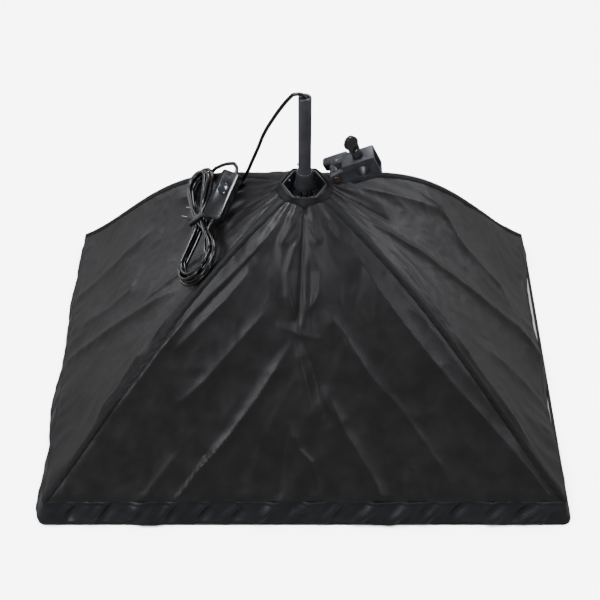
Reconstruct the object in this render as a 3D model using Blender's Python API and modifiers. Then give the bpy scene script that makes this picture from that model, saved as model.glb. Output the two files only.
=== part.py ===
# A folding 50 x 70 cm photographic softbox, standing front down on its white diffuser.
# Four sprung ribs fold like an umbrella's about a plastic hub. A lamp tube slides through the hub,
# a tilting stand bracket hangs on the hub's right side, and the lamp's lead leaves the tube's top.
# Origin: middle of the front, on the surface it lies on. +X along the 0.70 m side, +Z to the tube.
import math

import bmesh
import bpy
from mathutils import Matrix, Vector

# ---- the front and the fabric -------------------------------------------------------------
FRONT_HALF = (0.350, 0.250)        # outer edge of the front's binding
BINDING_WIDTH = 0.014
BINDING_TOP = 0.0027
CLOTH_TOP = 0.0015
HEM_FOOT_HALF = (0.3485, 0.2485)   # the hem's lower edge, standing on the binding
HEM_TOP_HALF = (0.3370, 0.2370)
HEM_FOOT_Z = 0.0036
HEM_TOP_Z = 0.0380
CANOPY_FOOT_Z = 0.0385
SKIN = 0.0010                      # thickness of the fabric solids
SEAM_GAP = 0.0014
RIDGE_START = (0.0345, 0.3690)     # canopy over a rib, at the hub: radius, height
RIDGE_BOW = {-1: 0.020, 1: 0.034}  # how far the near and far ribs bend outward
MID_START = (0.0335, 0.0315)       # canopy between ribs, at the hub: half width in X and in Y
MID_BOW = 0.010                    # the fabric between ribs bows less

# ---- hub ----------------------------------------------------------------------------------
HUB_RING_R = 0.0278                # corner radius of the six-sided ring
HUB_RING_WALL = 0.0024
HUB_RING_Z = (0.3535, 0.3760)
SPIDER_R = 0.0272
SPIDER_Z = (0.3440, 0.3532)
BOSS_Z = (0.3735, 0.3975)
COLLET_Z = (0.3535, 0.3732)
TUBE_R = 0.0077
TUBE_BORE_R = 0.0062
SLIDE_FIT = 0.0003                 # gap between touching pieces

# ---- ribs and stretchers, in a rib's own upright plane: distance from its pin, height -------
PIN_RADIUS = 0.0285                # pins' distance from the tube's axis
PIN_Z = 0.3490
RIB_TIP = (0.3580, -0.3010)
RIB_ROD_R = 0.0020
RIB_CLIP_LENGTH = 0.0160
RIB_CAP_LENGTH = 0.0130
LINK_AT = 0.19                     # where the stretcher joins the rib, as a share of the rib
LINK_LOWER = (-0.0115, -0.0660)    # the stretcher's lower pin, on the runner
LINK_WIDTH = 0.0070

# ---- lamp tube ----------------------------------------------------------------------------
TUBE_TOP_Z = 0.5080
TUBE_END_Z = 0.2560
RUNNER_HALF = 0.0070
SOCKET_Z = (0.1860, 0.2557)
SOCKET_R = 0.0205

# ---- stand bracket ------------------------------------------------------------------------
TILT_AXIS = (0.0385, 0.0, 0.3930)
BRACKET_TILT = math.radians(24)
BRACKET_HALF_DEPTH = 0.0112
BRACKET_END = 0.0520
BRACKET_HALF_HEIGHT = 0.0160
STAND_BORE_AT = 0.0330
STAND_BORE_R = 0.0081

# ---- lead, switch and plug ----------------------------------------------------------------
LEAD_R = 0.0022
GROMMET_HOLE = (0.0023, 0.0031)    # the hole's offset to the right, and its radius
FEED_ROUTE = (                     # out of the tube, over to the left and down the left panel
    (0.0025, 0, 0.5060), (0.0026, 0, 0.5096), (0.0012, 0, 0.5140), (-0.0030, 0.0003, 0.5164),
    (-0.0075, 0.0010, 0.5158), (-0.0125, 0.0020, 0.5118), (-0.0230, 0.0045, 0.4960),
    (-0.0367, 0.0090, 0.4690), (-0.0475, 0.0140, 0.4425), (-0.0555, 0.0190, 0.4150),
    (-0.0632, 0.0240, 0.3900), (-0.0690, 0.0298, 0.3690), (-0.0735, 0.0350, 0.3545),
    (-0.0763, 0.0366, 0.3474), (-0.0800, 0.0340, 0.3408), (-0.0851, 0.0297, 0.3350),
    (-0.0901, 0.0262, 0.3298), (-0.0959, 0.0235, 0.3240), (-0.1017, 0.0207, 0.3190),
    (-0.1080, 0.0190, 0.3158), (-0.1150, 0.0178, 0.3140), (-0.1195, 0.0176, 0.3112))
LOOP_ROUTE = (                     # out of the switch's upper end and round to the hank
    (-0.0834, 0.0371, 0.3578), (-0.0815, 0.0404, 0.3604), (-0.0820, 0.0450, 0.3622),
    (-0.0860, 0.0508, 0.3610), (-0.0923, 0.0572, 0.3556), (-0.1005, 0.0650, 0.3464),
    (-0.1085, 0.0730, 0.3350), (-0.1144, 0.0796, 0.3250))
SWITCH_AT = (-0.1000, 0.0159, 0.3400)
SWITCH_ALONG = (0.405, 0.722, 0.560)
SWITCH_FACING = (-0.386, -0.421, 0.821)
SWITCH_HALF = (0.0310, 0.0120)
SWITCH_SPLIT = -0.0006             # height of the split between base and cover
SWITCH_HALF_HEIGHT = 0.0070
BUTTON_AT = 0.0080                 # along the switch, from its middle
BUTTON_R = 0.0074
HANK_AT = (-0.1296, 0.0049, 0.3051)
HANK_ALONG = (-0.062, 0.998, 0.028)
HANK_FACING = (-0.700, -0.064, 0.711)
HANK_THICKNESS = 0.0140
HANK_WAIST = (0.0140, 0.0100)      # half length and half width of the tied middle
PLUG_AT = (0.0260, 0.0140, -0.0065)   # in the hank's own frame
PLUG_TURN = math.radians(48)
PLUG_HALF = (0.0130, 0.0100, 0.0052)
PIN_LENGTH = 0.0160
PIN_SPACING = 0.0127


def srgb(code):
    values = [int(code[i : i + 2], 16) / 255 for i in (0, 2, 4)]
    return [v / 12.92 if v <= 0.04045 else ((v + 0.055) / 1.055) ** 2.4 for v in values]


def finish_of(name, code, roughness, metallic=0.0):
    made = bpy.data.materials.new(name)
    made.use_nodes = True
    shader = made.node_tree.nodes["Principled BSDF"]
    shader.inputs["Base Color"].default_value = (*srgb(code), 1)
    shader.inputs["Roughness"].default_value = roughness
    shader.inputs["Metallic"].default_value = metallic
    return made


def start_scene():
    for old in list(bpy.data.objects):
        bpy.data.objects.remove(old)
    groups = []
    for name in ("softbox", "cutters"):
        group = bpy.data.collections.new(name)
        bpy.context.scene.collection.children.link(group)
        groups.append(group)
    return groups


parts, cutters = start_scene()


def place(obj, material, parent=None, at=(0, 0, 0), turn=None):
    """Puts a part in the softbox collection, at a place and turn under its parent."""
    obj.location = at
    if turn is not None:
        obj.rotation_euler = turn
    if material:
        obj.data.materials.append(material)
    parts.objects.link(obj)
    if parent:
        obj.parent = parent
    return obj


def pivot(name, at, turn=(0, 0, 0), parent=None):
    """An empty on a joint's axis, which carries the pieces that move with it."""
    made = bpy.data.objects.new(name, None)
    made.empty_display_size = 0.01
    made.location = at
    made.rotation_euler = turn
    parts.objects.link(made)
    made.parent = parent
    return made


def mesh_from(bm, name, smooth=True):
    mesh = bpy.data.meshes.new(name)
    bmesh.ops.recalc_face_normals(bm, faces=bm.faces)
    bm.to_mesh(mesh)
    bm.free()
    if smooth:
        mesh.shade_smooth()
        mesh.set_sharp_from_angle(angle=math.radians(35))
    return mesh


def block(name, low, high, bevel=0.0, segments=2):
    """A box between two corners, with rounded edges."""
    bm = bmesh.new()
    bmesh.ops.create_cube(bm, size=1)
    size = [b - a for a, b in zip(low, high)]
    middle = [(a + b) / 2 for a, b in zip(low, high)]
    bmesh.ops.scale(bm, vec=size, verts=bm.verts)
    bmesh.ops.translate(bm, vec=middle, verts=bm.verts)
    obj = bpy.data.objects.new(name, mesh_from(bm, name))
    if bevel:
        round_off(obj, bevel, segments)
    return obj


def round_off(obj, width, segments=2):
    edge = obj.modifiers.new("rounded edges", "BEVEL")
    edge.width = width
    edge.segments = segments
    edge.limit_method = "ANGLE"
    edge.angle_limit = math.radians(40)


def drum(name, radius, low, high, axis="Z", sides=24, top_radius=None):
    """A cylinder or cone along an axis, between two distances on it."""
    bm = bmesh.new()
    bmesh.ops.create_cone(
        bm, cap_ends=True, segments=sides, radius1=radius,
        radius2=radius if top_radius is None else top_radius, depth=high - low,
    )
    bmesh.ops.translate(bm, vec=(0, 0, (low + high) / 2), verts=bm.verts)
    turns = {"X": Matrix.Rotation(math.pi / 2, 4, "Y"), "Y": Matrix.Rotation(-math.pi / 2, 4, "X")}
    if axis in turns:
        bmesh.ops.transform(bm, matrix=turns[axis], verts=bm.verts)
    return bpy.data.objects.new(name, mesh_from(bm, name))


def turned(name, profile, steps=24):
    """A profile of (radius, height) points, listed down the outside and back up the bore."""
    bm = bmesh.new()
    ring = [bm.verts.new((r, 0, z)) for r, z in profile]
    closed = profile[0][0] > 0 and profile[-1][0] > 0
    for a, b in zip(ring, ring[1:] + ring[:1] if closed else ring[1:]):
        bm.edges.new((a, b))
    mesh = bpy.data.meshes.new(name)
    bm.to_mesh(mesh)
    bm.free()
    obj = bpy.data.objects.new(name, mesh)
    screw = obj.modifiers.new("turn", "SCREW")
    screw.steps = screw.render_steps = steps
    screw.use_merge_vertices = True
    screw.merge_threshold = 0.00001
    screw.use_smooth_shade = True
    return obj


def outline(name, loops, thickness):
    """A flat plate in the XY plane: closed loops of points, the first the edge, the rest holes."""
    curve = bpy.data.curves.new(name, "CURVE")
    curve.dimensions = "2D"
    curve.fill_mode = "BOTH"
    curve.extrude = thickness / 2
    for loop in loops:
        spline = curve.splines.new("POLY")
        spline.points.add(len(loop) - 1)
        for point, (x, y) in zip(spline.points, loop):
            point.co = (x, y, 0, 1)
        spline.use_cyclic_u = True
    return bpy.data.objects.new(name, curve)


def arc(centre, radius, start, end, count):
    angles = [math.radians(start + (end - start) * i / count) for i in range(count + 1)]
    return [(centre[0] + radius * math.cos(a), centre[1] + radius * math.sin(a)) for a in angles]


def meshed(obj):
    """The same shape as a welded mesh, so that it can be cut."""
    parts.objects.link(obj)
    bpy.context.view_layer.update()
    seen = obj.evaluated_get(bpy.context.evaluated_depsgraph_get())
    mesh = bpy.data.meshes.new_from_object(seen)
    bm = bmesh.new()
    bm.from_mesh(mesh)
    bmesh.ops.remove_doubles(bm, verts=bm.verts, dist=0.00001)
    name = obj.name
    bpy.data.objects.remove(obj)
    return bpy.data.objects.new(name, mesh_from(bm, name))


def cut(obj, *tools, operation="DIFFERENCE"):
    """Takes tools away from a part, or joins them to it. Tools are in the part's own frame."""
    for tool in tools:
        tool.display_type = "WIRE"
        tool.hide_render = True
        cutters.objects.link(tool)
        tool.parent = obj
        step = obj.modifiers.new(operation.lower(), "BOOLEAN")
        step.operation = operation
        step.object = tool
    return obj


def smooth_route(points, spacing):
    """Points at an even spacing along a smooth curve through the given ones."""
    knots = [Vector(p) for p in points]
    knots = [2 * knots[0] - knots[1], *knots, 2 * knots[-1] - knots[-2]]
    fine = []
    for p0, p1, p2, p3 in zip(knots, knots[1:], knots[2:], knots[3:]):
        for i in range(40):
            t = i / 40
            fine.append(0.5 * (2 * p1 + (p2 - p0) * t + (2 * p0 - 5 * p1 + 4 * p2 - p3) * t * t
                               + (3 * p1 - p0 - 3 * p2 + p3) * t ** 3))
    fine.append(knots[-2])
    run = [0.0]
    for a, b in zip(fine, fine[1:]):
        run.append(run[-1] + (b - a).length)
    count = max(2, round(run[-1] / spacing))
    made, k = [], 0
    for i in range(count + 1):
        want = run[-1] * i / count
        while k < len(run) - 2 and run[k + 1] < want:
            k += 1
        share = (want - run[k]) / max(run[k + 1] - run[k], 1e-9)
        made.append(fine[k].lerp(fine[k + 1], min(1.0, share)))
    return made


def rod(name, points, radius, resolution=2):
    """A round bar or cord through points, with flat closed ends."""
    curve = bpy.data.curves.new(name, "CURVE")
    curve.dimensions = "3D"
    curve.bevel_depth = radius
    curve.bevel_resolution = resolution
    curve.use_fill_caps = True
    spline = curve.splines.new("POLY")
    spline.points.add(len(points) - 1)
    for point, where in zip(spline.points, points):
        point.co = (*where, 1)
    return bpy.data.objects.new(name, curve)


# ---- fabric ---------------------------------------------------------------------------------

def bend(t):
    """How a sprung rib bends: nothing at its ends, most at 0.37 of its length."""
    return math.sin(math.pi * min(1.0, max(0.0, t)) ** 0.7) ** 1.5


def ridge(sx, sy, t):
    """A point of the canopy over the rib that runs to corner (sx, sy), t from hub to hem."""
    out = Vector((FRONT_HALF[0] * sx, FRONT_HALF[1] * sy, 0)).normalized()
    start = out * RIDGE_START[0] + Vector((0, 0, RIDGE_START[1]))
    end = Vector((HEM_TOP_HALF[0] * sx, HEM_TOP_HALF[1] * sy, CANOPY_FOOT_Z))
    chord = end - start
    normal = (out * -chord.z + Vector((0, 0, chord.dot(out)))).normalized()
    return start + chord * t + normal * RIDGE_BOW[sy] * bend(t)


def mid_line(side, t):
    """A point of the canopy halfway between two ribs. side is a unit step along X or Y."""
    wide = 0 if side[0] else 1
    start = Vector((side[0] * MID_START[0], side[1] * MID_START[1], RIDGE_START[1]))
    reach = HEM_TOP_HALF[wide]
    end = Vector((side[0] * reach, side[1] * reach, CANOPY_FOOT_Z))
    out = Vector((side[0], side[1], 0))
    chord = end - start
    normal = (out * -chord.z + Vector((0, 0, chord.dot(out)))).normalized()
    return start + chord * t + normal * MID_BOW * bend(t)


def canopy_point(sx, sy, t, w):
    """w runs from -1 at the side panel's middle, over the rib at 0, to 1 at the long panel's."""
    over = ridge(sx, sy, t)
    middle = mid_line((0, sy), t) if w > 0 else mid_line((sx, 0), t)
    share = abs(w)
    return over.lerp(middle, share)


def sheet_solid(name, point, rows, columns, flip):
    """A thick sheet through point(row, column)."""
    bm = bmesh.new()
    grid = [[bm.verts.new(point(i, j)) for j in columns] for i in rows]
    for a, b in zip(grid, grid[1:]):
        for k in range(len(columns) - 1):
            face = [a[k], a[k + 1], b[k + 1], b[k]]
            bm.faces.new(face[::-1] if flip else face)
    mesh = bpy.data.meshes.new(name)
    bm.to_mesh(mesh)
    bm.free()
    obj = bpy.data.objects.new(name, mesh)
    wall = obj.modifiers.new("fabric", "SOLIDIFY")
    wall.thickness = SKIN
    wall.offset = -1
    return obj


def canopy_quarter(name, sx, sy, material, parent):
    rows = [i / 9 for i in range(10)]
    columns = [-1, -0.7, -0.4, -0.15, 0, 0.15, 0.4, 0.7, 1]

    def point(t, w):
        p = canopy_point(sx, sy, t, w)
        # neighbours stop a gap short of each other at the panels' middles
        p.x = sx * max(abs(p.x), SEAM_GAP / 2)
        p.y = sy * max(abs(p.y), SEAM_GAP / 2)
        return parent.matrix_world.inverted() @ p

    obj = sheet_solid(name, point, rows, columns, flip=sx * sy < 0)
    return place(obj, material, parent)


def hem_quarter(name, sx, sy, material, parent):
    corner = 0.012

    def path(half, s):
        """s from -1, at the side's middle, round the corner at 0, to 1 at the front's middle."""
        turn = arc((half[0] - corner, half[1] - corner), corner, 0, 90, 4)
        line = [(half[0], SEAM_GAP / 2), (half[0], half[1] / 2), *turn, (half[0] / 2, half[1]),
                (SEAM_GAP / 2, half[1])]
        return line[s]

    def point(level, s):
        half = HEM_FOOT_HALF if level == 0 else HEM_TOP_HALF
        x, y = path(half, s)
        z = HEM_FOOT_Z if level == 0 else HEM_TOP_Z
        return parent.matrix_world.inverted() @ Vector((sx * x, sy * y, z))

    obj = sheet_solid(name, point, [1, 0], range(9), flip=sx * sy > 0)
    return place(obj, material, parent)


# ---- ribs -----------------------------------------------------------------------------------

def rib_line(bow, t):
    """A point of a rib's centre line in its own plane."""
    chord = Vector((RIB_TIP[0], 0, RIB_TIP[1]))
    normal = Vector((-chord.z, 0, chord.x)).normalized()
    return chord * t + normal * bow * bend(t)


def slope_at(bow, t):
    step = rib_line(bow, t + 0.01) - rib_line(bow, t)
    return math.atan2(-step.z, step.x)


def make_rib(corner, sx, sy, finishes, hub):
    bow = RIDGE_BOW[sy]
    azimuth = math.atan2(FRONT_HALF[1] * sy, FRONT_HALF[0] * sx)
    at = (PIN_RADIUS * math.cos(azimuth), PIN_RADIUS * math.sin(azimuth), PIN_Z)
    hinge = pivot(f"rib_hinge_{corner}", at, (0, 0, azimuth), hub)
    bpy.context.view_layer.update()

    root_slope = slope_at(bow, 0.02)
    clip = block(f"rib_clip_{corner}", (-0.0038, -0.0029, -0.0036),
                 (RIB_CLIP_LENGTH, 0.0029, 0.0036), 0.0008, 1)
    cut(clip, block("clip slot", (-0.006, -0.0019, -0.006), (0.0100, 0.0019, 0.006)),
        drum("clip hole", 0.0015, -0.006, 0.006, "Y", 12))
    place(clip, finishes["steel"], hinge, turn=(0, root_slope, 0))

    pin = drum(f"rib_pin_{corner}", 0.0012, -0.0036, 0.0036, "Y", 12)
    place(pin, finishes["steel"], hinge)

    start = (RIB_CLIP_LENGTH + 0.0004) / Vector((RIB_TIP[0], 0, RIB_TIP[1])).length
    points = [rib_line(bow, start + (1 - start) * i / 14) for i in range(15)]
    place(rod(f"rib_{corner}", points, RIB_ROD_R), finishes["steel"], hinge)

    tip_slope = slope_at(bow, 0.97)
    cap = turned(f"rib_cap_{corner}", [
        (0, RIB_CAP_LENGTH), (0.0022, RIB_CAP_LENGTH - 0.0006), (0.0036, RIB_CAP_LENGTH - 0.0030),
        (0.0036, 0.0008), (0.0030, 0), (0, 0)], 12)
    along = Vector((math.cos(tip_slope), 0, -math.sin(tip_slope)))
    place(cap, finishes["plastic"], hinge, points[-1] + along * SLIDE_FIT,
          (0, math.pi / 2 + tip_slope, 0))

    joint = rib_line(bow, LINK_AT)
    swing = pivot(f"stretcher_hinge_{corner}", joint, parent=hinge)
    reach = Vector((LINK_LOWER[0], 0, LINK_LOWER[1])) - joint
    half = LINK_WIDTH / 2
    link = outline(f"stretcher_{corner}", [
        arc((reach.length, 0), half, -90, 90, 6) + arc((0, 0), half, 90, 270, 6),
        arc((reach.length, 0), 0.0014, 0, 324, 9), arc((0, 0), 0.0014, 0, 324, 9)], 0.0018)
    link = meshed(link)
    angle = math.atan2(-reach.z, reach.x)
    turn = Matrix.Rotation(angle, 3, "Y") @ Matrix.Rotation(math.pi / 2, 3, "X")
    place(link, finishes["steel"], swing, (0, 0.0036, 0), turn.to_euler())
    return hinge


# ---- hub ------------------------------------------------------------------------------------

def hexagon(radius):
    return [(radius * math.cos(math.radians(60 * i)), radius * math.sin(math.radians(60 * i)))
            for i in range(6)]


def make_hub(finishes):
    hub = pivot("hub_slide", (0, 0, 0))
    low, high = HUB_RING_Z
    ring = meshed(outline("hub_ring", [hexagon(HUB_RING_R), hexagon(HUB_RING_R - HUB_RING_WALL)],
                          high - low))
    place(ring, finishes["plastic"], hub, (0, 0, (low + high) / 2))
    round_off(ring, 0.0006)

    low, high = SPIDER_Z
    middle = (low + high) / 2
    spider = meshed(outline("hub_spider", [hexagon(SPIDER_R)], high - low))
    place(spider, finishes["plastic"], hub, (0, 0, middle))
    for sx in (-1, 1):
        for sy in (-1, 1):
            azimuth = math.atan2(FRONT_HALF[1] * sy, FRONT_HALF[0] * sx)
            lug = block("lug", (0.018, -0.0016, low - middle), (PIN_RADIUS + 0.0034, 0.0016, high - middle),
                        0.0012)
            hole = drum("lug hole", 0.0015, -0.004, 0.004, "Y", 12)
            for tool in (lug, hole):
                tool.rotation_euler = (0, 0, azimuth)
            hole.location = (PIN_RADIUS * math.cos(azimuth), PIN_RADIUS * math.sin(azimuth),
                             PIN_Z - middle)
            cut(spider, lug, operation="UNION")
            cut(spider, hole)
    cut(spider, drum("spider bore", TUBE_R + SLIDE_FIT, -0.01, 0.01, sides=32))

    bore = TUBE_R + SLIDE_FIT
    low, high = BOSS_Z
    boss = turned("hub_boss", [
        (bore, high), (0.0092, high), (0.0098, high - 0.0010), (0.0100, high - 0.0030),
        (0.0112, low + 0.0060), (0.0130, low + 0.0020), (0.0130, low), (bore, low)], 32)
    place(boss, finishes["plastic"], hub)

    low, high = COLLET_Z
    collet = turned("spring_collet", [
        (bore, high), (bore + 0.0014, high), (bore + 0.0014, low + 0.0040),
        (bore + 0.0036, low + 0.0020), (bore + 0.0036, low), (bore, low)], 32)
    place(collet, finishes["steel"], hub)
    for i in range(4):
        slot = block("collet slot", (-0.0011, -0.02, low + 0.0050), (0.0011, 0.02, high + 0.001))
        slot.rotation_euler = (0, 0, math.radians(22.5 + 45 * i))
        cut(collet, slot)

    # the ear stands against the ring's right-hand corner and carries the tilt bolt
    x, _, z = TILT_AXIS
    foot = HUB_RING_R + SLIDE_FIT
    ear = meshed(outline("bracket_ear", [
        [(foot, HUB_RING_Z[0] + 0.003), (foot + 0.0022, HUB_RING_Z[0] + 0.003),
         (foot + 0.0022, HUB_RING_Z[1] - 0.001)] + arc((x, z), 0.0085, -70, 180, 14),
        arc((x, z), 0.0030, 0, 330, 11)], 0.0078))
    place(ear, finishes["plastic"], hub, turn=(math.pi / 2, 0, 0))
    return hub


def make_shaft(finishes, hub):
    shaft = pivot("shaft_slide", (0, 0, 0), parent=hub)
    tube = turned("lamp_tube", [
        (TUBE_BORE_R, TUBE_TOP_Z), (TUBE_R, TUBE_TOP_Z), (TUBE_R, TUBE_END_Z),
        (TUBE_BORE_R, TUBE_END_Z)], 24)
    place(tube, finishes["tube"], shaft)
    slot = block("tube slot", (0.0040, -0.0010, 0.4020), (0.0120, 0.0010, 0.4850))
    slot.rotation_euler = (0, 0, math.radians(-30))
    seat = drum("catch seat", 0.0024, 0.0040, 0.0120, "X", 16)
    seat.location = (0, 0, 0.4040)
    catch_turn = math.radians(150)
    seat.rotation_euler = (0, 0, catch_turn)
    cut(tube, slot, seat)

    # the lead leaves through an offset hole in the grommet
    grommet = turned("tube_grommet", [
        (0, TUBE_TOP_Z + 0.0010), (0.0068, TUBE_TOP_Z + 0.0010), (0.0074, TUBE_TOP_Z + 0.0006),
        (0.0074, TUBE_TOP_Z + SLIDE_FIT), (0.0059, TUBE_TOP_Z + SLIDE_FIT),
        (0.0059, TUBE_TOP_Z - 0.0060), (0, TUBE_TOP_Z - 0.0060)], 20)
    hole = drum("grommet hole", GROMMET_HOLE[1], TUBE_TOP_Z - 0.01, TUBE_TOP_Z + 0.01, sides=16)
    hole.location = (GROMMET_HOLE[0], 0, 0)
    cut(grommet, hole)
    place(grommet, finishes["plastic"], shaft)

    z = PIN_Z + LINK_LOWER[1]
    bore = TUBE_R + SLIDE_FIT
    collar = 0.0112
    runner = turned("runner", [
        (bore, z + RUNNER_HALF), (collar - 0.001, z + RUNNER_HALF), (collar, z + RUNNER_HALF - 0.001),
        (collar, z - RUNNER_HALF + 0.001), (collar - 0.001, z - RUNNER_HALF), (bore, z - RUNNER_HALF)], 24)
    place(runner, finishes["plastic"], shaft)
    for sx in (-1, 1):
        for sy in (-1, 1):
            lug = block("runner lug", (0.0098, -0.0016, z - 0.0035), (0.0200, 0.0016, z + 0.0035), 0.0012)
            lug.rotation_euler = (0, 0, math.atan2(FRONT_HALF[1] * sy, FRONT_HALF[0] * sx))
            cut(runner, lug, operation="UNION")

    low, high = SOCKET_Z
    shell = turned("lamp_holder_shell", [
        (0.0062, high), (0.0150, high), (0.0180, high - 0.0020), (SOCKET_R, high - 0.0090),
        (SOCKET_R, low + 0.0015), (SOCKET_R - 0.0010, low), (0.0172, low), (0.0172, high - 0.0125),
        (0.0062, high - 0.0125)], 32)
    place(shell, finishes["holder"], shaft)
    thread = [(0.0152, high - 0.0150), (0.0168, high - 0.0150)]
    thread += [(0.0168, low + 0.0060), (0.0140, low + 0.0060)]
    for i in range(12):
        # the round E27 thread, as rings
        thread.append((0.0144 if i % 2 else 0.0134, low + 0.0078 + 0.0037 * i))
    place(turned("lamp_screw_shell", thread, 32), finishes["brass"], shaft)
    contact = turned("lamp_centre_contact", [
        (0, high - 0.0130), (0.0050, high - 0.0130), (0.0050, high - 0.0160), (0.0022, high - 0.0170),
        (0.0022, high - 0.0215), (0, high - 0.0222)], 16)
    place(contact, finishes["brass"], shaft)

    # the catch springs out through the tube's wall just above the boss and holds the tube out
    latch = pivot("catch_slide", (0, 0, 0.4040), (0, 0, catch_turn), shaft)
    catch = drum("tube_catch", 0.0021, 0.0048, 0.0100, "X", 16)
    round_off(catch, 0.0006, 1)
    place(catch, finishes["steel"], latch)
    return shaft


# ---- bracket --------------------------------------------------------------------------------

def make_bracket(finishes, hub):
    tilt = pivot("bracket_tilt", TILT_AXIS, (0, -BRACKET_TILT, 0), hub)
    high, end, deep = BRACKET_HALF_HEIGHT, BRACKET_END, BRACKET_HALF_DEPTH
    side = (arc((0, 0), 0.0088, 125, 290, 10) + [(0.0120, -0.0095), (0.0160, -high + 0.001)]
            + arc((end - 0.002, -high + 0.002), 0.002, -90, 0, 2)
            + arc((end - 0.002, high - 0.002), 0.002, 0, 90, 2) + [(0.0125, high), (0.0120, 0.0102)])
    body = meshed(outline("tilt_bracket", [side], 2 * deep))
    body.data.transform(Matrix.Rotation(math.pi / 2, 4, "X"))
    place(body, finishes["bracket"], tilt)
    cut(body,
        block("fork gap", (-0.0130, -0.0044, -0.020), (0.0118, 0.0044, 0.020)),
        drum("tilt bolt hole", 0.0030, -0.020, 0.020, "Y", 16),
        drum("stand bore", STAND_BORE_R, -0.020, 0.020, "Y", 32),
        block("end pocket", (end - 0.0085, -0.0080, -0.0125), (end + 0.002, 0.0080, 0.0125), 0.002),
        drum("screw hole", 0.0034, 0.0, 0.020, "Z", 16))
    cutters.objects["stand bore"].location = (STAND_BORE_AT, 0, 0)
    cutters.objects["screw hole"].location = (STAND_BORE_AT, 0, 0)

    face = deep + SLIDE_FIT
    bolt = turned("tilt_bolt", [
        (0, face + 0.0016), (0.0050, face + 0.0016), (0.0056, face + 0.0010), (0.0056, face),
        (0.0026, face), (0.0026, -deep - 0.0020), (0, -deep - 0.0020)], 20)
    place(bolt, finishes["steel"], tilt, turn=(math.pi / 2, 0, 0))

    turning = pivot("tilt_knob_turn", (0, 0, 0), parent=tilt)
    inner = deep + 0.0004
    knob = drum("tilt_knob", 0.0080, inner, inner + 0.0050, "Y", 24)
    paddle = block("paddle", (-0.0165, inner + 0.0030, -0.0072), (0.0165, inner + 0.0160, 0.0072), 0.0034, 3)
    cut(knob, paddle, operation="UNION")
    cut(knob, drum("knob bore", 0.0030, inner - 0.001, inner + 0.0024, "Y", 16))
    place(knob, finishes["plastic"], turning)

    travel = pivot("stand_screw_slide", (STAND_BORE_AT, 0, 0), parent=tilt)
    shank = drum("stand_screw", 0.0030, 0.0062, high + 0.0100, "Z", 16)
    round_off(shank, 0.0006, 1)
    place(shank, finishes["steel"], travel)
    wings = pivot("stand_wing_turn", (0, 0, 0), (0, 0, math.radians(-48)), travel)
    foot = high + 0.0006
    wing = drum("stand_wing", 0.0068, foot, foot + 0.0090, "Z", 24, 0.0058)
    blade = meshed(outline("blade", [
        [(-0.0050, foot + 0.0040), (0.0050, foot + 0.0040)]
        + arc((0, foot + 0.0208), 0.0088, -38, 218, 16)], 0.0052))
    blade.data.transform(Matrix.Rotation(math.pi / 2, 4, "X"))
    blade.data.transform(Matrix.Rotation(math.pi / 2, 4, "Z"))
    cut(wing, blade, operation="UNION")
    cut(wing, drum("wing bore", 0.0034, foot - 0.001, high + 0.0104, "Z", 16))
    place(wing, finishes["plastic"], wings)
    return tilt


# ---- lead, switch and plug --------------------------------------------------------------------

def facing_turn(along, facing):
    """The turn that points local X along one direction and local Z along another."""
    z = Vector(facing).normalized()
    x = Vector(along)
    x = (x - z * x.dot(z)).normalized()
    return Matrix((x, z.cross(x), z)).transposed().to_euler()


def make_switch(finishes, swing):
    turn = facing_turn(SWITCH_ALONG, SWITCH_FACING)
    seat = pivot("switch_seat", Vector(SWITCH_AT) - swing.location, turn, swing)
    rim = [rounded_rectangle(SWITCH_HALF, 0.0040)]
    low = SWITCH_SPLIT - SLIDE_FIT + SWITCH_HALF_HEIGHT
    base = meshed(outline("switch_base", rim, low))
    round_off(base, 0.0010, 1)
    place(base, finishes["switch"], seat, (0, 0, low / 2 - SWITCH_HALF_HEIGHT))
    high = SWITCH_HALF_HEIGHT - SWITCH_SPLIT
    cover = meshed(outline("switch_cover", rim, high))
    round_off(cover, 0.0012, 2)
    middle = SWITCH_SPLIT + high / 2
    place(cover, finishes["switch"], seat, (0, 0, middle))
    well = drum("button well", BUTTON_R + SLIDE_FIT, high / 2 - 0.0042, high / 2 + 0.002)
    well.location = (BUTTON_AT, 0, 0)
    cut(cover, well)

    press = pivot("button_slide", (BUTTON_AT, 0, 0), parent=seat)
    top = SWITCH_HALF_HEIGHT
    button = turned("switch_button", [
        (0, top + 0.0018), (BUTTON_R * 0.6, top + 0.0015), (BUTTON_R - 0.0004, top + 0.0008),
        (BUTTON_R, top), (BUTTON_R, top - 0.0022), (0, top - 0.0022)], 24)
    place(button, finishes["button"], press)

    # a short stretch runs from the switch's lower end into the hank
    end = -SWITCH_HALF[0] - SLIDE_FIT
    place(rod("lead_tail", [(end, 0, 0), (end - 0.0046, 0, 0), (end - 0.0092, 0, 0)], LEAD_R),
          finishes["lead"], seat)


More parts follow.
